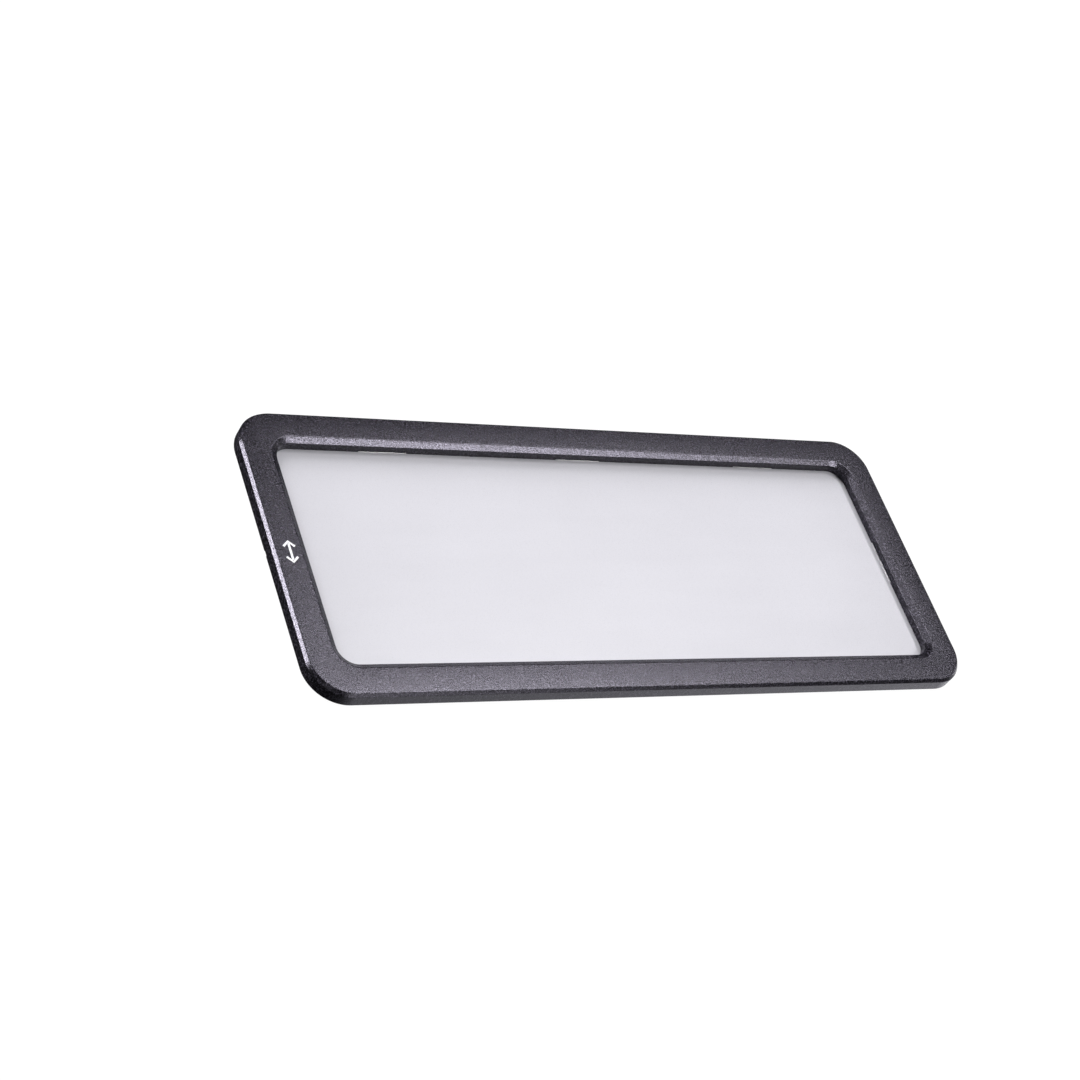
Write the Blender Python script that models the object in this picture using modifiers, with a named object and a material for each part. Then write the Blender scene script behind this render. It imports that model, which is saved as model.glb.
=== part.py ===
"""A slide-in spread-lens frame for a wide lamp: a flat rectangular frame that holds a frosted lens sheet.

The frame lies flat on the XY plane with its front face up. Sizes are in metres. Across the border,
every section is written as (inset, height): the inset is measured from the outer side wall inwards.
"""
import math

import bmesh
import bpy
from mathutils import Matrix, Vector

MM = 0.001

# Driving dimensions.
LENGTH = 300.0 * MM
WIDTH = 125.0 * MM
THICKNESS = 6.4 * MM
OUTER_RADIUS = 15.5 * MM
WINDOW_RADIUS = 7.5 * MM
FACE_WIDTH = 11.3 * MM
BEVEL_RUN = 2.45 * MM
BEVEL_DROP = 1.55 * MM
CHAMFER_RUN = 0.8 * MM
CHAMFER_DROP = 1.5 * MM
SIDE_WALL = 2.0 * MM
SKIN = 2.0 * MM
INNER_WALL = 1.9 * MM
SHEET = 0.6 * MM
PLATE = 0.5 * MM
SPRING = 0.4 * MM
SPRING_WIDTH = 20.4 * MM
SCREW_RADIUS = 1.15 * MM
HEAD_RADIUS = 2.4 * MM
HEAD_HEIGHT = 0.85 * MM
HEAD_CROWN = 0.4 * MM
POINT_TAPER = 0.45 * MM
BOSS_RADIUS = 2.5 * MM
FIT = 0.15 * MM
SIDE_FIT = 0.3 * MM
HOLE_RADIUS = SCREW_RADIUS + SIDE_FIT

# The bezel section's rounded corners: the corner's place in the section to (radius, steps).
BEZEL_ROUNDINGS = {1: (0.25 * MM, 1), 2: (0.9 * MM, 3), 3: (0.5 * MM, 1), 4: (0.35 * MM, 2)}

# Heights, from the resting rim at zero up to the front face.
LIP_LOW = 0.10 * MM
SHEET_LOW = LIP_LOW + PLATE + FIT
SHEET_TOP = SHEET_LOW + SHEET
WALL_FOOT = SHEET_TOP + 0.1 * MM
TONGUE_LOW = SHEET_TOP + FIT
NOTCH_TOP = TONGUE_LOW + SPRING + FIT
PLATE_LOW = SHEET_TOP + 0.1 * MM
PLATE_TOP = PLATE_LOW + PLATE
FLANGE_LOW = PLATE_TOP + FIT
FLANGE_TOP = FLANGE_LOW + SPRING
CEILING = THICKNESS - SKIN
HEAD_TOP = PLATE_LOW - FIT
HEAD_LOW = HEAD_TOP - HEAD_HEIGHT
PILOT_TOP = THICKNESS - 1.2 * MM
SCREW_TIP = PILOT_TOP - SIDE_FIT

# Insets from the outer side wall.
WINDOW = FACE_WIDTH + BEVEL_RUN
CHANNEL_IN = WINDOW - INNER_WALL
SHEET_EDGE = WINDOW - 1.45 * MM
LIP_END = WINDOW + 0.85 * MM
TONGUE_END = WINDOW + 0.2 * MM
JOGGLE_START = 10.0 * MM
JOGGLE_END = 11.3 * MM
BOSS_LINE = (SIDE_WALL + CHANNEL_IN) / 2

# Places along the sides.
SPRING_PITCH = 89.0 * MM
NOTCH_WIDTH = SPRING_WIDTH + 2 * SIDE_FIT
RIB_PITCH = 22.25 * MM
RIB = 1.0 * MM
LONG_SIDE_RIBS = 5
SHORT_SIDE_RIBS = 1
PRY_WIDTH = 2.6 * MM
PRY_HEIGHT = 0.5 * MM
PRY_OFFSET = 1.7 * MM

# The cross recess in a screw's head, and how much further each screw is turned than the one before.
RECESS_ARM = 1.3 * MM
RECESS_HALF_WIDTH = 0.25 * MM
RECESS_DEPTH = 0.45 * MM
RECESS_TURN = math.radians(17)

# Steps around a corner of the frame and around a screw or boss.
CORNER_STEPS = 10
ROUND_STEPS = 16

# How far a joined or cutting shape reaches past a surface, and how close two points are welded.
OVERLAP = 0.2 * MM
WELD = 0.001 * MM


def clear_scene():
    for scene_object in list(bpy.data.objects):
        bpy.data.objects.remove(scene_object, do_unlink=True)


def new_collection(name):
    collection = bpy.data.collections.new(name)
    bpy.context.scene.collection.children.link(collection)
    return collection


def principled(name, color, roughness, metallic=0.0):
    material = bpy.data.materials.new(name)
    material.use_nodes = True
    shader = material.node_tree.nodes["Principled BSDF"]
    shader.inputs["Base Color"].default_value = (*color, 1.0)
    shader.inputs["Roughness"].default_value = roughness
    shader.inputs["Metallic"].default_value = metallic
    return material


def object_from_bmesh(name, mesh_builder, collection, material=None):
    bmesh.ops.recalc_face_normals(mesh_builder, faces=mesh_builder.faces)
    mesh = bpy.data.meshes.new(name)
    mesh_builder.to_mesh(mesh)
    mesh_builder.free()
    result = bpy.data.objects.new(name, mesh)
    collection.objects.link(result)
    if material:
        mesh.materials.append(material)
    return result


def shade_round(target, angle=math.radians(35)):
    target.data.shade_smooth()
    target.data.set_sharp_from_angle(angle=angle)


def corner_radius(inset):
    """The outer outlines follow the outer corner and the inner ones follow the window's corner."""
    if inset < FACE_WIDTH / 2:
        return OUTER_RADIUS - inset
    return WINDOW_RADIUS + WINDOW - inset


def rounded_outline(inset):
    """The frame's rounded rectangle, moved in by inset, as plan points."""
    radius = corner_radius(inset)
    reach_x = LENGTH / 2 - inset - radius
    reach_y = WIDTH / 2 - inset - radius
    points = []
    for quarter, (side_x, side_y) in enumerate([(1, 1), (-1, 1), (-1, -1), (1, -1)]):
        for step in range(CORNER_STEPS + 1):
            angle = math.radians(90) * (quarter + step / CORNER_STEPS)
            x = side_x * reach_x + radius * math.cos(angle)
            y = side_y * reach_y + radius * math.sin(angle)
            points.append((x, y))
    return points


def soften(section, roundings):
    """Replace a section's corners by arcs; roundings maps a corner's index to (radius, steps)."""
    softened = []
    for index, corner in enumerate(section):
        if index not in roundings:
            softened.append(corner)
            continue
        radius, steps = roundings[index]
        here = Vector(corner)
        before = (Vector(section[index - 1]) - here).normalized()
        after = (Vector(section[(index + 1) % len(section)]) - here).normalized()
        half = before.angle(after) / 2
        centre = here + (before + after).normalized() * radius / math.sin(half)
        start = (here + before * radius / math.tan(half) - centre).normalized()
        end = (here + after * radius / math.tan(half) - centre).normalized()
        for step in range(steps + 1):
            softened.append(tuple(centre + start.slerp(end, step / steps) * radius))
    return softened


def ring(name, section, collection, material):
    """Loft a closed section around the frame. Its outlines change corner radius with their inset."""
    builder = bmesh.new()
    loops = []
    for inset, height in section:
        loops.append([builder.verts.new((x, y, height)) for x, y in rounded_outline(inset)])
    for lower, upper in zip(loops, loops[1:] + loops[:1]):
        for index in range(len(lower)):
            following = (index + 1) % len(lower)
            builder.faces.new((lower[index], lower[following], upper[following], upper[index]))
    return object_from_bmesh(name, builder, collection, material)


def box(name, low, high, collection, turn=0.0):
    """A box between two corners, turned about Z at the origin."""
    low, high = Vector(low), Vector(high)
    size = high - low
    builder = bmesh.new()
    bmesh.ops.create_cube(builder, size=1.0)
    place = Matrix.Rotation(turn, 4, "Z") @ Matrix.Translation((low + high) / 2)
    bmesh.ops.transform(builder, matrix=place @ Matrix.Diagonal((*size, 1.0)), verts=builder.verts)
    return object_from_bmesh(name, builder, collection)


def cylinder(name, place, radius, low, high, collection):
    """An upright cylinder at a plan point, from one height to another."""
    builder = bmesh.new()
    bmesh.ops.create_cone(builder, cap_ends=True, segments=ROUND_STEPS, radius1=radius, radius2=radius,
                          depth=high - low, matrix=Matrix.Translation((*place, (low + high) / 2)))
    return object_from_bmesh(name, builder, collection)


def flat_piece(name, outline, thickness, collection):
    """A flat outline as a filled 2D curve, extruded to its thickness about its own plane."""
    curve = bpy.data.curves.new(name, "CURVE")
    curve.dimensions = "2D"
    curve.fill_mode = "BOTH"
    curve.extrude = thickness / 2
    spline = curve.splines.new("POLY")
    spline.points.add(len(outline) - 1)
    for point, (x, y) in zip(spline.points, outline):
        point.co = (x, y, 0.0, 1.0)
    spline.use_cyclic_u = True
    result = bpy.data.objects.new(name, curve)
    collection.objects.link(result)
    return result


def evaluated_mesh(source):
    bpy.context.view_layer.update()
    return bpy.data.meshes.new_from_object(source.evaluated_get(bpy.context.evaluated_depsgraph_get()))


def welded_copy(name, curve_object, collection):
    """A curve object turned into a closed mesh object in its place, so that it can be cut."""
    mesh = evaluated_mesh(curve_object)
    mesh.transform(curve_object.matrix_world)
    bpy.data.objects.remove(curve_object)
    builder = bmesh.new()
    builder.from_mesh(mesh)
    bmesh.ops.remove_doubles(builder, verts=builder.verts, dist=WELD)
    return object_from_bmesh(name, builder, collection)


def baked_mesh(source, material):
    """The object's mesh with its modifiers applied and one material, set back on the object."""
    mesh = evaluated_mesh(source)
    mesh.materials.clear()
    mesh.materials.append(material)
    source.modifiers.clear()
    source.data = mesh
    return mesh


def boolean(target, operation, operands):
    """Add or cut all the objects of one collection."""
    modifier = target.modifiers.new(operation.title(), "BOOLEAN")
    modifier.operation = operation
    modifier.solver = "EXACT"
    modifier.operand_type = "COLLECTION"
    modifier.collection = operands


def hide_tools(collection):
    for tool in collection.objects:
        tool.hide_render = True
        tool.display_type = "WIRE"


def spring_stations():
    """Where the lens springs sit: (distance along the side, turn of the side about Z)."""
    long_sides = [(place * SPRING_PITCH, turn) for turn in (0.0, math.pi) for place in (-1, 0, 1)]
    short_sides = [(0.0, turn) for turn in (math.pi / 2, -math.pi / 2)]
    return long_sides + short_sides


def side_reach(turn):
    """The distance from the centre to the outer wall of the side that a turn picks."""
    return WIDTH / 2 if abs(math.sin(turn)) < 0.5 else LENGTH / 2


def on_side(along, inset, turn):
    """The plan point at a distance along a side and an inset from its outer wall."""
    point = Matrix.Rotation(turn, 2) @ Vector((along, side_reach(turn) - inset))
    return point.x, point.y


def corner_stations():
    """The middle of the channel on each corner's diagonal."""
    outer = OUTER_RADIUS - (OUTER_RADIUS - SIDE_WALL) * math.sqrt(0.5)
    inner_radius = WINDOW_RADIUS + INNER_WALL
    inner = WINDOW + WINDOW_RADIUS - inner_radius * math.sqrt(0.5)
    inset = (outer + inner) / 2
    return [(x * (LENGTH / 2 - inset), y * (WIDTH / 2 - inset)) for x in (-1, 1) for y in (-1, 1)]


def screw_places():
    """One screw through each lens spring, and one in each corner."""
    return [on_side(along, BOSS_LINE, turn) for along, turn in spring_stations()] + corner_stations()


def make_front_bezel(parts, material):
    section = [
        (0.0, 0.0),
        (0.0, THICKNESS - CHAMFER_DROP),
        (CHAMFER_RUN, THICKNESS),
        (FACE_WIDTH, THICKNESS),
        (WINDOW, THICKNESS - BEVEL_DROP),
        (WINDOW, WALL_FOOT),
        (CHANNEL_IN, WALL_FOOT),
        (CHANNEL_IN, CEILING),
        (SIDE_WALL, CEILING),
        (SIDE_WALL, 0.0),
    ]
    bezel = ring("front_bezel", soften(section, BEZEL_ROUNDINGS), parts, material)

    added = new_collection("bezel_bosses_and_ribs")
    for along, turn in spring_stations():
        centre = on_side(along, BOSS_LINE, turn)
        cylinder("spring_boss", centre, BOSS_RADIUS, FLANGE_TOP + FIT, CEILING + OVERLAP, added)
    for centre in corner_stations():
        cylinder("corner_boss", centre, BOSS_RADIUS, PLATE_TOP + FIT, CEILING + OVERLAP, added)
    for turn in (0.0, math.pi / 2, math.pi, -math.pi / 2):
        reach = side_reach(turn)
        count = LONG_SIDE_RIBS if reach < LENGTH / 2 else SHORT_SIDE_RIBS
        for place in range(-count, count + 1):
            along = place * RIB_PITCH
            low = (along - RIB / 2, reach - CHANNEL_IN - OVERLAP, FLANGE_TOP + 2 * SIDE_FIT)
            high = (along + RIB / 2, reach - SIDE_WALL + OVERLAP, CEILING + 2 * OVERLAP)
            box("rib", low, high, added, turn)
    boolean(bezel, "UNION", added)

    cutters = new_collection("bezel_cutters")
    for centre in screw_places():
        cylinder("pilot_hole", centre, HOLE_RADIUS, 0.0, PILOT_TOP, cutters)
    for along, turn in spring_stations():
        reach = side_reach(turn)
        low = (along - NOTCH_WIDTH / 2, reach - WINDOW - OVERLAP, WALL_FOOT - OVERLAP)
        high = (along + NOTCH_WIDTH / 2, reach - CHANNEL_IN + OVERLAP, NOTCH_TOP)
        box("spring_notch", low, high, cutters, turn)
    for turn in (math.pi / 2, -math.pi / 2):
        along = PRY_OFFSET * math.sin(turn)
        low = (along - PRY_WIDTH / 2, LENGTH / 2 - SIDE_WALL - OVERLAP, -OVERLAP)
        high = (along + PRY_WIDTH / 2, LENGTH / 2 + OVERLAP, PRY_HEIGHT)
        box("pry_notch", low, high, cutters, turn)
    boolean(bezel, "DIFFERENCE", cutters)
    hide_tools(added)
    hide_tools(cutters)
    shade_round(bezel)


def make_lens_sheet(parts, material):
    sheet = flat_piece("lens_sheet", rounded_outline(SHEET_EDGE), SHEET, parts)
    sheet.location.z = SHEET_LOW + SHEET / 2
    sheet.data.materials.append(material)


def make_rear_frame(parts, material):
    """A pressed ring: a plate in the channel and, a step lower, the lip that the lens rests on."""
    plate_edge = SIDE_WALL + SIDE_FIT
    section = [
        (plate_edge, PLATE_LOW),
        (plate_edge, PLATE_TOP),
        (JOGGLE_START, PLATE_TOP),
        (JOGGLE_END, LIP_LOW + PLATE),
        (LIP_END, LIP_LOW + PLATE),
        (LIP_END, LIP_LOW),
        (JOGGLE_END - PLATE / 2, LIP_LOW),
        (JOGGLE_START - PLATE / 2, PLATE_LOW),
    ]
    frame = ring("rear_frame", section, parts, material)
    cutters = new_collection("rear_frame_cutters")
    for centre in screw_places():
        cylinder("screw_hole", centre, HOLE_RADIUS, PLATE_LOW - OVERLAP, PLATE_TOP + OVERLAP, cutters)
    boolean(frame, "DIFFERENCE", cutters)
    hide_tools(cutters)
    shade_round(frame)


def spring_profile():
    """A bent strip: a flange with a screw hole, and a tongue a step lower that reaches over the lens."""
    flange_edge = SIDE_WALL + 2.0 * MM
    bend_start = JOGGLE_START + 0.1 * MM
    bend_end = bend_start + 0.9 * MM
    return [
        (flange_edge, FLANGE_LOW),
        (bend_start, FLANGE_LOW),
        (bend_end, TONGUE_LOW),
        (TONGUE_END, TONGUE_LOW),
        (TONGUE_END, TONGUE_LOW + SPRING),
        (bend_end + SPRING / 3, TONGUE_LOW + SPRING),
        (bend_start + SPRING / 3, FLANGE_TOP),
        (flange_edge, FLANGE_TOP),
    ]


def make_lens_springs(parts, material):
    """One spring is pressed from its profile and drilled, and its mesh serves all eight."""
    strip = flat_piece("spring_strip", spring_profile(), SPRING_WIDTH, parts)
    strip.rotation_euler = (math.pi / 2, 0.0, -math.pi / 2)
    blank = welded_copy("lens_spring_1", strip, parts)
    cutters = new_collection("spring_cutters")
    cylinder("spring_hole", (0.0, -BOSS_LINE), HOLE_RADIUS, 0.0, THICKNESS, cutters)
    boolean(blank, "DIFFERENCE", cutters)
    drilled = baked_mesh(blank, material)
    hide_tools(cutters)
    for number, (along, turn) in enumerate(spring_stations(), start=1):
        spring = blank if number == 1 else bpy.data.objects.new(f"lens_spring_{number}", drilled)
        if number > 1:
            parts.objects.link(spring)
        spring.location = (*on_side(along, 0.0, turn), 0.0)
        spring.rotation_euler = (0.0, 0.0, turn)


def turned_screw(parts):
    """A low-head screw, head down, turned from its profile."""
    profile = [
        (0.0, SCREW_TIP),
        (SCREW_RADIUS - POINT_TAPER, SCREW_TIP),
        (SCREW_RADIUS, SCREW_TIP - POINT_TAPER),
        (SCREW_RADIUS, HEAD_TOP),
        (HEAD_RADIUS, HEAD_TOP),
        (HEAD_RADIUS, HEAD_LOW + HEAD_CROWN),
        (HEAD_RADIUS - HEAD_CROWN, HEAD_LOW),
        (0.0, HEAD_LOW),
    ]
    builder = bmesh.new()
    points = [builder.verts.new((radius, 0.0, height)) for radius, height in profile]
    for upper, lower in zip(points, points[1:]):
        builder.edges.new((upper, lower))
    outline = bpy.data.meshes.new("screw_profile")
    builder.to_mesh(outline)
    builder.free()
    screw = bpy.data.objects.new("frame_screw_01", outline)
    parts.objects.link(screw)
    turning = screw.modifiers.new("Turn", "SCREW")
    turning.steps = ROUND_STEPS
    turning.render_steps = ROUND_STEPS
    turning.use_merge_vertices = True
    turning.merge_threshold = 0.00001
    return screw


def make_frame_screws(parts, material):
    """One screw is turned and its cross recess cut, and its mesh serves all twelve."""
    first = turned_screw(parts)
    cutters = new_collection("screw_cutters")
    arm = Vector((RECESS_ARM, RECESS_HALF_WIDTH, 0.0))
    for name, reach in (("recess_across", arm), ("recess_along", arm.yxz)):
        low = (-reach.x, -reach.y, HEAD_LOW - OVERLAP)
        high = (reach.x, reach.y, HEAD_LOW + RECESS_DEPTH)
        box(name, low, high, cutters)
    boolean(first, "DIFFERENCE", cutters)
    finished = baked_mesh(first, material)
    hide_tools(cutters)
    for number, (x, y) in enumerate(screw_places(), start=1):
        screw = first if number == 1 else bpy.data.objects.new(f"frame_screw_{number:02d}", finished)
        if number > 1:
            parts.objects.link(screw)
        screw.location = (x, y, 0.0)
        screw.rotation_euler = (0.0, 0.0, number * RECESS_TURN)
    shade_round(first)


def main():
    clear_scene()
    parts = new_collection("spread_lens_frame")
    bezel = principled("charcoal_grained_plastic", (0.055, 0.053, 0.062), 0.5)
    frosted = principled("frosted_lens_plastic", (0.82, 0.82, 0.86), 0.45)
    black_plate = principled("black_coated_plate", (0.02, 0.02, 0.022), 0.45)
    spring_steel = principled("spring_steel", (0.72, 0.71, 0.73), 0.3, 1.0)
    screw_steel = principled("zinc_plated_steel", (0.6, 0.6, 0.62), 0.35, 1.0)
    make_front_bezel(parts, bezel)
    make_lens_sheet(parts, frosted)
    make_rear_frame(parts, black_plate)
    make_lens_springs(parts, spring_steel)
    make_frame_screws(parts, screw_steel)


main()
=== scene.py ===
"""The looks of a slide-in spread-lens frame: a grained charcoal bezel around a frosted lens sheet.

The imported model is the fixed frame. Finer pieces stand for its bezel, rear frame, springs and screws. The
lens sheet keeps its own solid, and every surface gets a procedural material. Sizes are in metres. Across the
border, a section is written as (inset, height): the inset is measured from the outer side wall inwards.
"""

import math
import random

import bmesh
import bpy
from mathutils import Matrix, Vector


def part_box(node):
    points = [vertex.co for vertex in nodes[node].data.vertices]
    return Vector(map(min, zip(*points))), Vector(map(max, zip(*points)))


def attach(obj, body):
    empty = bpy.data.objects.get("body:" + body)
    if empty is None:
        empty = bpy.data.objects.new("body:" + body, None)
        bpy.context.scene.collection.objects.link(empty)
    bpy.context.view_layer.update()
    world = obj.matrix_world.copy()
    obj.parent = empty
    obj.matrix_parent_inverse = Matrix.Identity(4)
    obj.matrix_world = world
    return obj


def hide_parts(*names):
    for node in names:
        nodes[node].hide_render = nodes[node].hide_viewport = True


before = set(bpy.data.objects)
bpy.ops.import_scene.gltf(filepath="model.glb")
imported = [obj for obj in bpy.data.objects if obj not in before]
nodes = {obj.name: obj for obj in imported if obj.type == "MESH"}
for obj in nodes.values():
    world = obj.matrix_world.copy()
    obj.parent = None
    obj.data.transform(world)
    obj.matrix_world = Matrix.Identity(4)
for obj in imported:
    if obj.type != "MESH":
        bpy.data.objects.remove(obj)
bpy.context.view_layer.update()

MM = 0.001
BODY = "root"

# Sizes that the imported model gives.
BEZEL_LOW, BEZEL_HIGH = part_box("front_bezel")
LENGTH = BEZEL_HIGH.x - BEZEL_LOW.x
WIDTH = BEZEL_HIGH.y - BEZEL_LOW.y
THICKNESS = BEZEL_HIGH.z
REAR_LOW, REAR_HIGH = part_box("rear_frame")
SHEET_LOW, SHEET_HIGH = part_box("lens_sheet")
SPRINGS = sorted(name for name in nodes if name.startswith("lens_spring_"))
SCREWS = sorted(name for name in nodes if name.startswith("frame_screw_"))

# The bezel, with the insets and heights of its section.
OUTER_RADIUS = 15.5 * MM
WINDOW_RADIUS = 7.5 * MM
FACE_WIDTH = 11.3 * MM
WINDOW = 13.75 * MM
BEVEL_DROP = 1.55 * MM
CHAMFER_RUN = 1.0 * MM
CHAMFER_DROP = 1.5 * MM
FACE_CROWN = 0.06 * MM
SIDE_WALL = 2.0 * MM
CHANNEL_IN = 11.85 * MM
CEILING = 4.4 * MM
WALL_FOOT = SHEET_HIGH.z + 0.1 * MM
NOTCH_WIDTH = 21.0 * MM
NOTCH_TOP = 2.05 * MM
PRY_WIDTH = 2.6 * MM
PRY_HEIGHT = 0.5 * MM
PRY_OFFSET = 1.7 * MM
BOSS_LINE = (SIDE_WALL + CHANNEL_IN) / 2
BOSS_RADIUS = 2.5 * MM
HOLE_RADIUS = 1.45 * MM
BORE_TOP = THICKNESS - 1.2 * MM
RIB_PITCH = 22.25 * MM
RIB = 1.0 * MM
RIB_CLEARANCE = 0.6 * MM
FOOT_CLEARANCE = 0.15 * MM

# The steel parts behind it.
PLATE = 0.5 * MM
SPRING_PLATE = 0.4 * MM
HEAD_RADIUS = 2.4 * MM
SHANK_RADIUS = 1.15 * MM

# How far a joined or cutting solid runs past the surface it meets.
SPARE = 0.2 * MM
NEAR = 0.05 * MM

CORNER_STEPS = 28
FACE_STEPS = 8
ROUND_STEPS = 48


def new_object(name, data):
    made = bpy.data.objects.new(name, data)
    bpy.context.scene.collection.objects.link(made)
    return made


def mesh_from(name, builder):
    bmesh.ops.recalc_face_normals(builder, faces=builder.faces)
    mesh = bpy.data.meshes.new(name)
    builder.to_mesh(mesh)
    builder.free()
    return mesh


def evaluated(piece):
    bpy.context.view_layer.update()
    graph = bpy.context.evaluated_depsgraph_get()
    return bpy.data.meshes.new_from_object(piece.evaluated_get(graph))


def smooth(mesh, angle=40):
    mesh.shade_smooth()
    mesh.set_sharp_from_angle(angle=math.radians(angle))


def weight_normals(piece):
    """Large faces keep their own shading up to the small rounded edges beside them."""
    weighted = piece.modifiers.new("Weighted", "WEIGHTED_NORMAL")
    weighted.keep_sharp = True


def dress(piece, material, slot, *replaced):
    """One material over the whole piece, on the part's only body."""
    piece.data.materials.clear()
    piece.data.materials.append(material)
    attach(piece, BODY)
    if replaced:
        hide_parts(*replaced)


# ---------------------------------------------------------------- shapes

def corner_radius(inset):
    """Outer outlines follow the outer corner and inner ones follow the window's corner."""
    if inset < FACE_WIDTH / 2:
        return OUTER_RADIUS - inset
    return WINDOW_RADIUS + WINDOW - inset


def blended_radius(inset):
    """As corner_radius, but across the face the two corner families pass smoothly into each other."""
    share = min(max((inset - CHAMFER_RUN) / (FACE_WIDTH - CHAMFER_RUN), 0.0), 1.0)
    outer = OUTER_RADIUS - inset
    inner = WINDOW_RADIUS + WINDOW - inset
    return outer + (inner - outer) * share


def rounded_outline(inset, radius):
    reach_x = LENGTH / 2 - inset - radius
    reach_y = WIDTH / 2 - inset - radius
    points = []
    for quarter, (side_x, side_y) in enumerate([(1, 1), (-1, 1), (-1, -1), (1, -1)]):
        for step in range(CORNER_STEPS + 1):
            angle = math.radians(90) * (quarter + step / CORNER_STEPS)
            x = side_x * reach_x + radius * math.cos(angle)
            y = side_y * reach_y + radius * math.sin(angle)
            points.append((x, y))
    return points


def soften(section, roundings):
    """Replace a section's corners by arcs; roundings maps a corner's index to (radius, steps)."""
    softened = []
    for index, corner in enumerate(section):
        if index not in roundings:
            softened.append(corner)
            continue
        radius, steps = roundings[index]
        here = Vector(corner)
        before = (Vector(section[index - 1]) - here).normalized()
        after = (Vector(section[(index + 1) % len(section)]) - here).normalized()
        half = before.angle(after) / 2
        centre = here + (before + after).normalized() * radius / math.sin(half)
        start = (here + before * radius / math.tan(half) - centre).normalized()
        end = (here + after * radius / math.tan(half) - centre).normalized()
        for step in range(steps + 1):
            softened.append(tuple(centre + start.slerp(end, step / steps) * radius))
    return softened


def ring(name, section, radius_at):
    """Loft a closed section around the frame."""
    builder = bmesh.new()
    loops = []
    for inset, height in section:
        outline = rounded_outline(inset, radius_at(inset))
        loops.append([builder.verts.new((x, y, height)) for x, y in outline])
    for lower, upper in zip(loops, loops[1:] + loops[:1]):
        for index in range(len(lower)):
            following = (index + 1) % len(lower)
            builder.faces.new((lower[index], lower[following], upper[following], upper[index]))
    return new_object(name, mesh_from(name, builder))


def box_tool(low, high, turn=0.0):
    low, high = Vector(low), Vector(high)
    builder = bmesh.new()
    bmesh.ops.create_cube(builder, size=1.0)
    place = Matrix.Rotation(turn, 4, "Z") @ Matrix.Translation((low + high) / 2)
    bmesh.ops.transform(builder, matrix=place @ Matrix.Diagonal((*(high - low), 1.0)), verts=builder.verts)
    return new_object("tool", mesh_from("tool", builder))


def round_tool(place, radius, low, high):
    builder = bmesh.new()
    centre = Matrix.Translation((*place, (low + high) / 2))
    bmesh.ops.create_cone(builder, cap_ends=True, segments=ROUND_STEPS, radius1=radius, radius2=radius,
                          depth=high - low, matrix=centre)
    return new_object("tool", mesh_from("tool", builder))


def combine(piece, operation, tools):
    """Join or cut the piece with all the tools, and keep only the result."""
    collection = bpy.data.collections.new("tools")
    for tool in tools:
        collection.objects.link(tool)
    modifier = piece.modifiers.new("Combine", "BOOLEAN")
    modifier.operation = operation
    modifier.solver = "EXACT"
    modifier.operand_type = "COLLECTION"
    modifier.collection = collection
    mesh = evaluated(piece)
    piece.modifiers.clear()
    piece.data = mesh
    for tool in tools:
        bpy.data.objects.remove(tool)
    bpy.data.collections.remove(collection)


def side_of(point):
    """Which side a plan point is on, as a turn about Z, and how far along that side it lies."""
    if WIDTH / 2 - abs(point.y) < LENGTH / 2 - abs(point.x):
        turn = 0.0 if point.y > 0 else math.pi
    else:
        turn = math.pi / 2 if point.x < 0 else -math.pi / 2
    return turn, (Matrix.Rotation(-turn, 2) @ point.xy).x


def side_reach(turn):
    return WIDTH / 2 if abs(math.sin(turn)) < 0.5 else LENGTH / 2


def middle(node):
    low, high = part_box(node)
    return (low + high) / 2


def bezel_section():
    face = []
    for step in range(FACE_STEPS + 1):
        share = step / FACE_STEPS
        inset = CHAMFER_RUN + (FACE_WIDTH - CHAMFER_RUN) * share
        face.append((inset, THICKNESS - FACE_CROWN * (2 * share - 1) ** 2))
    section = [(0.0, 0.0), (0.0, THICKNESS - CHAMFER_DROP), *face]
    section += [
        (WINDOW, THICKNESS - BEVEL_DROP),
        (WINDOW, WALL_FOOT),
        (CHANNEL_IN, WALL_FOOT),
        (CHANNEL_IN, CEILING),
        (SIDE_WALL, CEILING),
        (SIDE_WALL, 0.0),
    ]
    inner_edge = 2 + FACE_STEPS
    return soften(section, {
        0: (0.15 * MM, 3),
        1: (0.3 * MM, 4),
        2: (0.5 * MM, 6),
        inner_edge: (0.9 * MM, 6),
        inner_edge + 1: (0.5 * MM, 5),
        inner_edge + 2: (0.15 * MM, 3),
        inner_edge + 6: (0.15 * MM, 3),
    })


def in_window(point):
    """Whether a point lies on the window's upright wall or inside it."""
    return abs(point.x) < LENGTH / 2 - WINDOW + NEAR and abs(point.y) < WIDTH / 2 - WINDOW + NEAR


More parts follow.
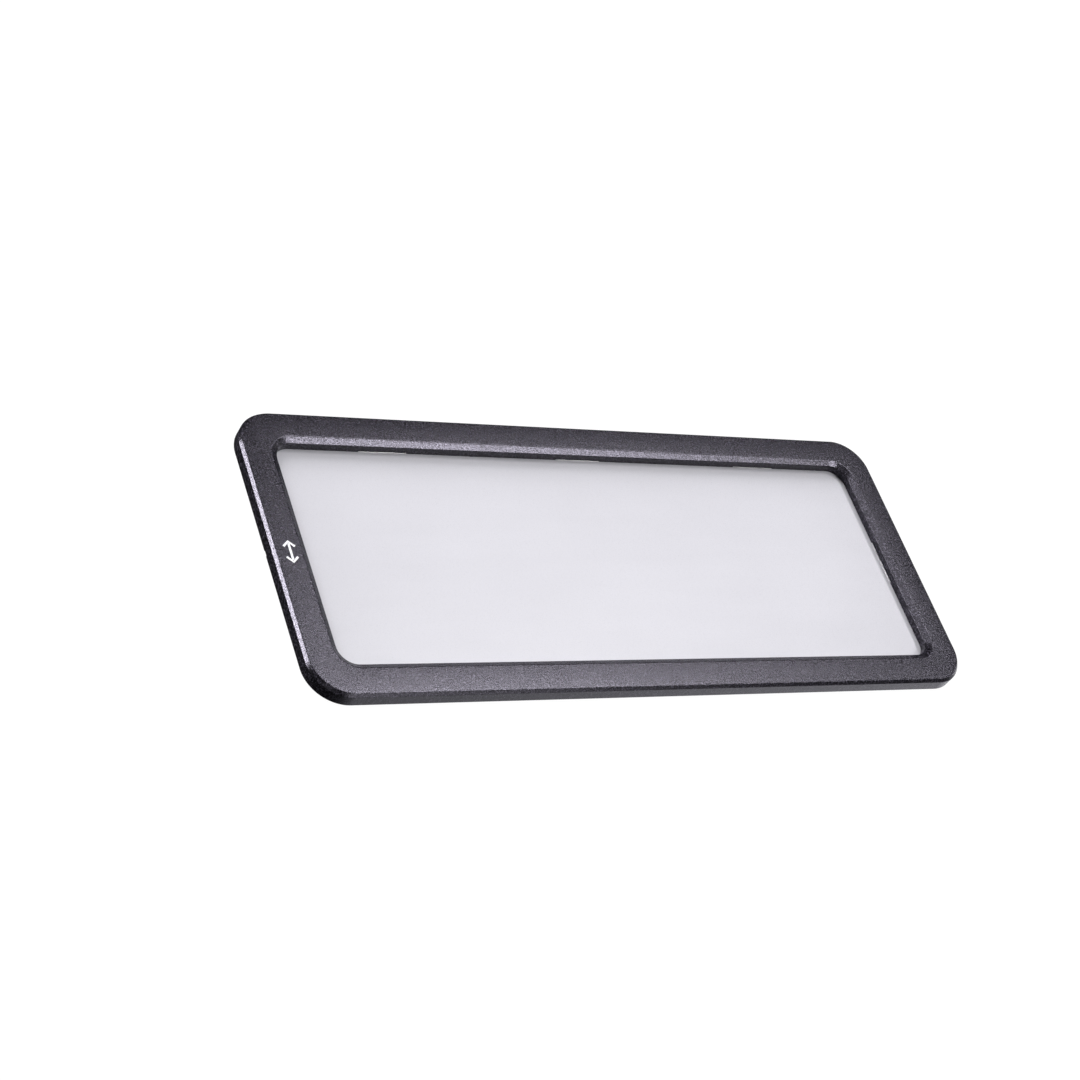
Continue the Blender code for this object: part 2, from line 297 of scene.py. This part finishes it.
def make_bezel(material, wall_material):
    """The moulded channel: screw bosses and ribs inside, and notches for the springs and a pry tool."""
    bezel = ring("bezel_shell", bezel_section(), blended_radius)
    flange_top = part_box(SPRINGS[0])[1].z
    added, cutters = [], []
    for node in SCREWS:
        centre = middle(node)
        at_spring = any((middle(spring) - centre).xy.length < BOSS_RADIUS for spring in SPRINGS)
        foot = (flange_top if at_spring else REAR_HIGH.z) + FOOT_CLEARANCE
        added.append(round_tool(centre.xy, BOSS_RADIUS, foot, CEILING + SPARE))
        cutters.append(round_tool(centre.xy, HOLE_RADIUS, 0.0, BORE_TOP))
    for turn in (0.0, math.pi / 2, math.pi, -math.pi / 2):
        reach = side_reach(turn)
        count = 5 if reach < LENGTH / 2 else 1
        for place in range(-count, count + 1):
            along = place * RIB_PITCH
            low = (along - RIB / 2, reach - CHANNEL_IN - SPARE, flange_top + RIB_CLEARANCE)
            high = (along + RIB / 2, reach - SIDE_WALL + SPARE, CEILING + 2 * SPARE)
            added.append(box_tool(low, high, turn))
    for node in SPRINGS:
        turn, along = side_of(middle(node))
        reach = side_reach(turn)
        low = (along - NOTCH_WIDTH / 2, reach - WINDOW - SPARE, WALL_FOOT - SPARE)
        high = (along + NOTCH_WIDTH / 2, reach - CHANNEL_IN + SPARE, NOTCH_TOP)
        cutters.append(box_tool(low, high, turn))
    for turn in (math.pi / 2, -math.pi / 2):
        along = PRY_OFFSET * math.sin(turn)
        low = (along - PRY_WIDTH / 2, LENGTH / 2 - SIDE_WALL - SPARE, -SPARE)
        high = (along + PRY_WIDTH / 2, LENGTH / 2 + SPARE, PRY_HEIGHT)
        cutters.append(box_tool(low, high, turn))
    combine(bezel, "UNION", added)
    combine(bezel, "DIFFERENCE", cutters)
    smooth(bezel.data)
    weight_normals(bezel)
    dress(bezel, material, "bezel", "front_bezel")
    bezel.data.materials.append(wall_material)
    for face in bezel.data.polygons:
        if in_window(face.center):
            face.material_index = 1


def make_rear_ring(material):
    """The pressed ring, with the bends and edges that a press leaves round."""
    low, top = REAR_LOW.z, REAR_HIGH.z
    edge = BEZEL_HIGH.x - REAR_HIGH.x
    bend, bend_end = 10.0 * MM, 11.3 * MM
    lip = WINDOW + 0.85 * MM
    section = [
        (edge, top - PLATE),
        (edge, top),
        (bend, top),
        (bend_end, low + PLATE),
        (lip, low + PLATE),
        (lip, low),
        (bend_end - PLATE / 2, low),
        (bend - PLATE / 2, top - PLATE),
    ]
    section = soften(section, {
        0: (0.1 * MM, 2), 1: (0.1 * MM, 2), 2: (0.6 * MM, 4), 3: (0.4 * MM, 4),
        4: (0.1 * MM, 2), 5: (0.1 * MM, 2), 6: (0.6 * MM, 4), 7: (0.4 * MM, 4),
    })
    rear = ring("rear_ring", section, corner_radius)
    holes = []
    for node in SCREWS:
        holes.append(round_tool(middle(node).xy, HOLE_RADIUS, top - PLATE - SPARE, top + SPARE))
    combine(rear, "DIFFERENCE", holes)
    smooth(rear.data)
    weight_normals(rear)
    dress(rear, material, "rear_frame", "rear_frame")


def spring_strip():
    """A bent strip with a rounded nose: a drilled flange, and a tongue a step lower over the lens."""
    low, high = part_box(SPRINGS[0])
    width = high.x - low.x
    thick = SPRING_PLATE
    flange_edge = WIDTH / 2 - high.y
    nose = WIDTH / 2 - low.y
    bend, bend_end = 10.1 * MM, 11.0 * MM
    section = [
        (flange_edge, high.z - thick),
        (bend, high.z - thick),
        (bend_end, low.z),
        (nose, low.z),
        (nose, low.z + thick),
        (bend_end + thick / 3, low.z + thick),
        (bend + thick / 3, high.z),
        (flange_edge, high.z),
    ]
    section = soften(section, {
        0: (0.08 * MM, 2), 1: (0.5 * MM, 4), 2: (0.6 * MM, 4), 3: (0.19 * MM, 4),
        4: (0.19 * MM, 5), 5: (0.5 * MM, 4), 6: (0.6 * MM, 4), 7: (0.08 * MM, 2),
    })
    curve = bpy.data.curves.new("spring_strip", "CURVE")
    curve.dimensions = "2D"
    curve.fill_mode = "BOTH"
    curve.extrude = width / 2
    spline = curve.splines.new("POLY")
    spline.points.add(len(section) - 1)
    for point, (x, y) in zip(spline.points, section):
        point.co = (x, y, 0.0, 1.0)
    spline.use_cyclic_u = True
    outline = new_object("spring_outline", curve)
    builder = bmesh.new()
    builder.from_mesh(evaluated(outline))
    bmesh.ops.remove_doubles(builder, verts=builder.verts, dist=0.001 * MM)
    upright = Matrix.Rotation(-math.pi / 2, 4, "Z") @ Matrix.Rotation(math.pi / 2, 4, "X")
    bmesh.ops.transform(builder, matrix=upright, verts=builder.verts)
    bpy.data.objects.remove(outline)
    strip = new_object("spring_blank", mesh_from("spring_blank", builder))
    combine(strip, "DIFFERENCE", [round_tool((0.0, -BOSS_LINE), HOLE_RADIUS, 0.0, THICKNESS)])
    smooth(strip.data)
    mesh = strip.data
    bpy.data.objects.remove(strip)
    return mesh


def make_springs(material):
    mesh = spring_strip()
    for number, node in enumerate(SPRINGS, start=1):
        turn, along = side_of(middle(node))
        place = Matrix.Rotation(turn, 4, "Z") @ Matrix.Translation((along, side_reach(turn), 0.0))
        spring = new_object(f"spring_strip_{number}", mesh.copy())
        spring.matrix_world = place
        dress(spring, material, "spring", node)


def screw_blank():
    """A turned profile: a pointed shank, a low domed head and a cross recess."""
    low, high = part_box(SCREWS[0])
    head_top = REAR_HIGH.z - PLATE - 0.15 * MM
    lead, crown, corner = 0.45 * MM, 0.4 * MM, 0.12 * MM
    crown_steps = 6
    profile = [
        (0.0, high.z),
        (SHANK_RADIUS - lead, high.z),
        (SHANK_RADIUS, high.z - lead),
        (SHANK_RADIUS, head_top),
        (HEAD_RADIUS - corner, head_top),
        (HEAD_RADIUS, head_top - corner),
        (HEAD_RADIUS, low.z + crown),
    ]
    for step in range(1, crown_steps + 1):
        angle = math.radians(90) * step / crown_steps
        radius = HEAD_RADIUS - crown + crown * math.cos(angle)
        profile.append((radius, low.z + crown - crown * math.sin(angle)))
    profile.append((0.0, low.z))
    builder = bmesh.new()
    points = [builder.verts.new((radius, 0.0, height)) for radius, height in profile]
    for upper, lower in zip(points, points[1:]):
        builder.edges.new((upper, lower))
    mesh = bpy.data.meshes.new("screw_profile")
    builder.to_mesh(mesh)
    builder.free()
    screw = new_object("screw_blank", mesh)
    turning = screw.modifiers.new("Turn", "SCREW")
    turning.steps = ROUND_STEPS
    turning.render_steps = ROUND_STEPS
    turning.use_merge_vertices = True
    turning.merge_threshold = 0.01 * MM
    turned = evaluated(screw)
    screw.modifiers.clear()
    screw.data = turned
    arm, half, depth = 1.3 * MM, 0.25 * MM, 0.45 * MM
    across = box_tool((-arm, -half, low.z - SPARE), (arm, half, low.z + depth))
    along = box_tool((-half, -arm, low.z - SPARE), (half, arm, low.z + depth))
    combine(screw, "DIFFERENCE", [across, along])
    smooth(screw.data)
    mesh = screw.data
    bpy.data.objects.remove(screw)
    return mesh


def make_screws(material):
    mesh = screw_blank()
    angles = random.Random(7)
    for number, node in enumerate(SCREWS, start=1):
        centre = middle(node)
        screw = new_object(f"screw_{number:02d}", mesh.copy())
        turn = Matrix.Rotation(angles.uniform(0, math.pi / 2), 4, "Z")
        screw.matrix_world = Matrix.Translation((centre.x, centre.y, 0.0)) @ turn
        dress(screw, material, "screw", node)


# ---------------------------------------------------------------- printed mark

INK = 0.012 * MM
INK_ROOT = 0.1 * MM
STROKE = 0.9 * MM


def stroke_faces(builder, points, width, low, high):
    """A flat band of one width along plan points, with its own thickness."""
    left, right = [], []
    for index, point in enumerate(points):
        before = points[max(index - 1, 0)]
        after = points[min(index + 1, len(points) - 1)]
        normal = (after - before).normalized().orthogonal() * width / 2
        left.append(point + normal)
        right.append(point - normal)
    outline = left + right[::-1]
    bottom = [builder.verts.new((*point, low)) for point in outline]
    top = [builder.verts.new((*point, high)) for point in outline]
    count = len(points)
    for index in range(count - 1):
        mirror = 2 * count - 1 - index
        builder.faces.new((top[index], top[index + 1], top[mirror - 1], top[mirror]))
        builder.faces.new((bottom[mirror], bottom[mirror - 1], bottom[index + 1], bottom[index]))
    for index in range(2 * count):
        following = (index + 1) % (2 * count)
        builder.faces.new((bottom[index], bottom[following], top[following], top[index]))


def make_mark(material):
    """A plain double arrow along the left border, for a lens that spreads the light."""
    centre = Vector((BEZEL_LOW.x + 6.6 * MM, -1.8 * MM))
    low, high = THICKNESS - INK_ROOT, THICKNESS + INK
    shaft, tip, arm = 3.6 * MM, 4.5 * MM, 2.2 * MM
    builder = bmesh.new()
    strokes = [[(0.0, -shaft), (0.0, 0.0), (0.0, shaft)]]
    for side in (-1, 1):
        strokes.append([(-arm, side * (tip - arm)), (0.0, side * tip), (arm, side * (tip - arm))])
    for stroke in strokes:
        stroke_faces(builder, [centre + Vector(point) for point in stroke], STROKE, low, high)
    mark = new_object("spread_mark", mesh_from("spread_mark", builder))
    dress(mark, material, "mark_ink")


# ---------------------------------------------------------------- materials

class Nodes:
    """Short names for the shader nodes that the materials share."""

    def __init__(self, name):
        self.material = bpy.data.materials.new(name)
        self.material.use_nodes = True
        self.tree = self.material.node_tree
        self.shader = self.tree.nodes["Principled BSDF"]
        self.place = self.add("ShaderNodeTexCoord").outputs["Object"]

    def add(self, kind):
        return self.tree.nodes.new(kind)

    def link(self, start, end):
        self.tree.links.new(start, end)

    def stretched(self, scale):
        mapping = self.add("ShaderNodeMapping")
        mapping.inputs["Scale"].default_value = scale
        self.link(self.place, mapping.inputs["Vector"])
        return mapping.outputs["Vector"]

    def noise(self, size, detail=2.0, roughness=0.5, vector=None):
        """Noise whose blobs are about size metres across."""
        texture = self.add("ShaderNodeTexNoise")
        texture.inputs["Scale"].default_value = 1.0 / size
        texture.inputs["Detail"].default_value = detail
        texture.inputs["Roughness"].default_value = roughness
        self.link(vector or self.place, texture.inputs["Vector"])
        return texture.outputs["Fac"]

    def ramp(self, value, *stops):
        """A colour ramp from (position, colour) stops; a plain number stands for a grey."""
        node = self.add("ShaderNodeValToRGB")
        elements = node.color_ramp.elements
        while len(elements) < len(stops):
            elements.new(0.5)
        for element, (position, colour) in zip(elements, stops):
            element.position = position
            if isinstance(colour, (int, float)):
                colour = (colour, colour, colour)
            element.color = (*colour, 1.0)
        self.link(value, node.inputs["Fac"])
        return node.outputs["Color"]

    def mix(self, factor, first, second, blend="MIX"):
        node = self.add("ShaderNodeMix")
        node.data_type = "RGBA"
        node.blend_type = blend
        for socket, value in ((0, factor), (6, first), (7, second)):
            if isinstance(value, (int, float)):
                node.inputs[socket].default_value = value
            elif isinstance(value, tuple):
                node.inputs[socket].default_value = (*value, 1.0)
            else:
                self.link(value, node.inputs[socket])
        return node.outputs[2]

    def sum(self, *terms):
        """Add up (socket, weight) terms."""
        total = None
        for socket, weight in terms:
            scaled = self.add("ShaderNodeMath")
            scaled.operation = "MULTIPLY_ADD"
            self.link(socket, scaled.inputs[0])
            scaled.inputs[1].default_value = weight
            scaled.inputs[2].default_value = 0.0
            if total:
                self.link(total, scaled.inputs[2])
            total = scaled.outputs[0]
        return total

    def bump(self, height, depth):
        """Relief of about depth metres."""
        node = self.add("ShaderNodeBump")
        node.inputs["Strength"].default_value = 1.0
        node.inputs["Distance"].default_value = depth
        self.link(height, node.inputs["Height"])
        self.link(node.outputs["Normal"], self.shader.inputs["Normal"])

    def set(self, **values):
        for name, value in values.items():
            self.shader.inputs[name.replace("_", " ")].default_value = value


def grained_plastic(name, gloss):
    """Charcoal plastic moulded with a fine spark grain. Its colour follows nearly the same noise as the
    grain's relief: darker in the pits as painted shade and lighter on the tips as a painted sparkle, over
    the grain's own uneven tone.

    gloss is the shader's specular level: the window's upright wall is a little duller than the rest.
    """
    n = Nodes(name)
    fleck = n.noise(0.9 * MM, detail=3.0, roughness=0.65)
    grit = n.noise(0.4 * MM, detail=2.0, roughness=0.6)
    cloud = n.noise(22 * MM, detail=2.0)
    tone = n.sum((fleck, 0.5), (grit, 0.5))
    # The near-black pit colour is painted shade in the grain's hollows, and the lighter tip colour is a
    # painted sparkle on its raised tips. Both follow nearly the same noise as the bump.
    pit_painted_shade, ground, tip = (0.001, 0.001, 0.0015), (0.004, 0.0035, 0.005), (0.07, 0.064, 0.084)
    colour = n.ramp(tone, (0.42, pit_painted_shade), (0.51, ground), (0.6, tip))
    colour = n.mix(n.ramp(cloud, (0.35, 0.0), (0.65, 0.18)), colour, (0.006, 0.0055, 0.0075))
    n.link(colour, n.shader.inputs["Base Color"])
    n.link(n.ramp(tone, (0.42, 0.27), (0.58, 0.17)), n.shader.inputs["Roughness"])
    n.bump(n.sum((fleck, 0.2), (grit, 0.8)), 0.09 * MM)
    n.set(Specular_IOR_Level=gloss, Specular_Tint=(0.88, 0.83, 1.0, 1.0))
    return n.material


def frosted_plastic():
    """A frosted white sheet: a soft satin skin, faint streaks from extrusion and a very fine tooth."""
    n = Nodes("frosted_lens_plastic")
    cloud = n.noise(60 * MM, detail=2.0)
    streak = n.noise(9 * MM, detail=3.0, vector=n.stretched((0.12, 1.0, 1.0)))
    tooth = n.noise(0.25 * MM, detail=2.0)
    tone = n.sum((cloud, 0.6), (streak, 0.4))
    colour = n.ramp(tone, (0.35, (0.522, 0.515, 0.554)), (0.65, (0.542, 0.535, 0.575)))
    n.link(colour, n.shader.inputs["Base Color"])
    n.link(n.ramp(tooth, (0.35, 0.26), (0.65, 0.34)), n.shader.inputs["Roughness"])
    n.bump(tooth, 0.004 * MM)
    n.set(Specular_IOR_Level=0.4, Subsurface_Weight=0.1, Subsurface_Scale=0.6 * MM)
    n.shader.inputs["Subsurface Radius"].default_value = (1.0, 1.0, 1.0)
    return n.material


def coated_plate():
    """Black powder coat with a faint orange peel."""
    n = Nodes("black_coated_plate")
    peel = n.noise(0.9 * MM, detail=2.0)
    cloud = n.noise(18 * MM, detail=3.0)
    colour = n.ramp(cloud, (0.3, (0.012, 0.012, 0.013)), (0.7, (0.03, 0.03, 0.033)))
    n.link(colour, n.shader.inputs["Base Color"])
    n.link(n.ramp(peel, (0.3, 0.36), (0.7, 0.5)), n.shader.inputs["Roughness"])
    n.bump(peel, 0.02 * MM)
    n.set(Specular_IOR_Level=0.5)
    return n.material


def rolled_steel():
    """Bright spring steel, with rolling lines along the strip."""
    n = Nodes("rolled_spring_steel")
    grain = n.noise(0.3 * MM, detail=4.0, vector=n.stretched((0.03, 1.0, 1.0)))
    stain = n.noise(6 * MM, detail=2.0)
    tone = n.sum((grain, 0.6), (stain, 0.4))
    colour = n.ramp(tone, (0.35, (0.42, 0.41, 0.42)), (0.65, (0.6, 0.59, 0.6)))
    n.link(colour, n.shader.inputs["Base Color"])
    n.link(n.ramp(grain, (0.3, 0.28), (0.7, 0.44)), n.shader.inputs["Roughness"])
    n.bump(grain, 0.004 * MM)
    n.set(Metallic=1.0)
    return n.material


def zinc_steel():
    """Zinc plating with a fine spangle and small scuffs."""
    n = Nodes("zinc_plated_steel")
    spangle = n.noise(0.8 * MM, detail=3.0)
    scuff = n.noise(0.15 * MM, detail=3.0)
    colour = n.ramp(spangle, (0.35, (0.45, 0.46, 0.48)), (0.65, (0.68, 0.68, 0.7)))
    n.link(colour, n.shader.inputs["Base Color"])
    n.link(n.ramp(scuff, (0.3, 0.28), (0.7, 0.44)), n.shader.inputs["Roughness"])
    n.bump(scuff, 0.006 * MM)
    n.set(Metallic=1.0)
    return n.material


def printed_ink():
    """White ink that the grain below leaves slightly uneven."""
    n = Nodes("printed_ink")
    patch = n.noise(0.25 * MM, detail=3.0)
    colour = n.ramp(patch, (0.3, (0.74, 0.73, 0.77)), (0.6, (0.93, 0.92, 0.95)))
    n.link(colour, n.shader.inputs["Base Color"])
    n.link(n.ramp(patch, (0.3, 0.65), (0.7, 0.5)), n.shader.inputs["Roughness"])
    n.bump(patch, 0.01 * MM)
    return n.material


def pale_paper():
    """A white sweep that shines by itself, so that only a trace of the part's shadow is left on it."""
    n = Nodes("pale_paper")
    fibre = n.noise(1.5 * MM, detail=4.0)
    n.link(n.ramp(fibre, (0.3, 0.07), (0.7, 0.08)), n.shader.inputs["Base Color"])
    n.set(Roughness=0.9, Specular_IOR_Level=0.1, Emission_Strength=0.96)
    n.shader.inputs["Emission Color"].default_value = (1.0, 1.0, 1.0, 1.0)
    return n.material


# ---------------------------------------------------------------- stage

CAMERA_PLACE = (-0.489567, -0.417620, 0.577495)
CAMERA_AIM = (-0.030983, 0.009977, 0.0)
CAMERA_ROLL = math.radians(37.02)
CAMERA_LENS = 73.52
FLOOR_REACH = 30.0
LIGHT_DISTANCE = 3.0
# Azimuth, elevation and half angle in degrees, then the light's own radiance. The key light brightens the
# lens sheet, and each softbox is what one face of the bezel mirrors.
KEY_LIGHT = (115, 26, 20, 10.5)
SOFTBOXES = [
    (151, 6, 8, 32),     # the left chamfer
    (319, 52, 8, 22.5),  # the far bevel
    (33, 56, 8, 15),     # the front face
    (240, 72, 10, 3),    # the bevel's far right corner
    (288, 7, 12, 3),     # the near chamfer
    (228, 9, 16, 0.5),   # the near left corner's side wall
    (116, 59, 8, 4.5),   # the right bevel
    (0, 11, 10, 8),      # the bevel's far left corner
]


def make_camera():
    camera = bpy.data.cameras.new("camera")
    camera.lens = CAMERA_LENS
    camera.sensor_width = 36.0
    camera.clip_start = 0.01
    camera.clip_end = 50.0
    made = new_object("camera", camera)
    made.location = CAMERA_PLACE
    look = (Vector(CAMERA_AIM) - Vector(CAMERA_PLACE)).to_track_quat("-Z", "Y")
    made.rotation_mode = "QUATERNION"
    made.rotation_quaternion = look @ Matrix.Rotation(CAMERA_ROLL, 3, "Z").to_quaternion()
    bpy.context.scene.camera = made


def softbox(name, azimuth, elevation, half_angle, radiance):
    """A round soft light that spans an angle seen from the part. Azimuth 0 is +X and 90 is +Y."""
    azimuth, elevation, half_angle = (math.radians(angle) for angle in (azimuth, elevation, half_angle))
    radius = LIGHT_DISTANCE * math.tan(half_angle)
    light = bpy.data.lights.new(name, "AREA")
    light.shape = "DISK"
    light.size = 2 * radius
    light.energy = radiance * math.pi * math.pi * radius ** 2
    made = new_object(name, light)
    towards = Vector((
        math.cos(azimuth) * math.cos(elevation),
        math.sin(azimuth) * math.cos(elevation),
        math.sin(elevation),
    ))
    made.location = towards * LIGHT_DISTANCE
    made.rotation_mode = "QUATERNION"
    made.rotation_quaternion = (-towards).to_track_quat("-Z", "Y")
    made.visible_camera = False
    return made


def make_world():
    """Nearly dark all round, but for the pale table top that the near long side wall mirrors."""
    world = bpy.data.worlds.new("studio")
    world.use_nodes = True
    tree = world.node_tree
    towards = tree.nodes.new("ShaderNodeTexCoord").outputs["Generated"]
    alignment = tree.nodes.new("ShaderNodeVectorMath")
    alignment.operation = "DOT_PRODUCT"
    alignment.inputs[1].default_value = Vector((0.9, -0.2, -0.38)).normalized()
    tree.links.new(towards, alignment.inputs[0])
    ahead = tree.nodes.new("ShaderNodeClamp")
    tree.links.new(alignment.outputs["Value"], ahead.inputs["Value"])
    glow = tree.nodes.new("ShaderNodeMath")
    glow.operation = "POWER"
    glow.inputs[1].default_value = 4.0
    tree.links.new(ahead.outputs[0], glow.inputs[0])
    height = tree.nodes.new("ShaderNodeSeparateXYZ")
    tree.links.new(towards, height.inputs[0])
    below = tree.nodes.new("ShaderNodeMapRange")
    below.interpolation_type = "SMOOTHSTEP"
    below.inputs["From Min"].default_value = 0.0
    below.inputs["From Max"].default_value = -0.5
    below.inputs["To Max"].default_value = 1.4
    tree.links.new(height.outputs["Z"], below.inputs["Value"])
    table = tree.nodes.new("ShaderNodeMath")
    table.operation = "MULTIPLY_ADD"
    table.inputs[2].default_value = 0.03
    tree.links.new(glow.outputs[0], table.inputs[0])
    tree.links.new(below.outputs["Result"], table.inputs[1])
    tree.links.new(table.outputs[0], tree.nodes["Background"].inputs["Strength"])
    tree.nodes["Background"].inputs["Color"].default_value = (0.9, 0.9, 0.94, 1.0)
    bpy.context.scene.world = world


def make_stage():
    """A floor that only the camera sees, so the part mirrors the softboxes and the world's glow alone."""
    builder = bmesh.new()
    bmesh.ops.create_grid(builder, x_segments=1, y_segments=1, size=FLOOR_REACH)
    floor = new_object("floor", mesh_from("floor", builder))
    floor.location.z = -0.02 * MM
    floor.data.materials.append(pale_paper())
    floor.visible_glossy = False
    floor.visible_diffuse = False
    make_world()
    bpy.context.scene.view_settings.view_transform = "Standard"
    key = softbox("key_light", *KEY_LIGHT)
    key.visible_glossy = False
    for number, light in enumerate(SOFTBOXES, start=1):
        softbox(f"softbox_{number}", *light)


make_camera()
make_stage()
face_plastic = grained_plastic("charcoal_grained_plastic", 0.75)
wall_plastic = grained_plastic("charcoal_wall_plastic", 0.3)
make_bezel(face_plastic, wall_plastic)
make_rear_ring(coated_plate())
make_springs(rolled_steel())
make_screws(zinc_steel())
make_mark(printed_ink())

lens = nodes["lens_sheet"]
lens.data.materials.clear()
lens.data.materials.append(frosted_plastic())
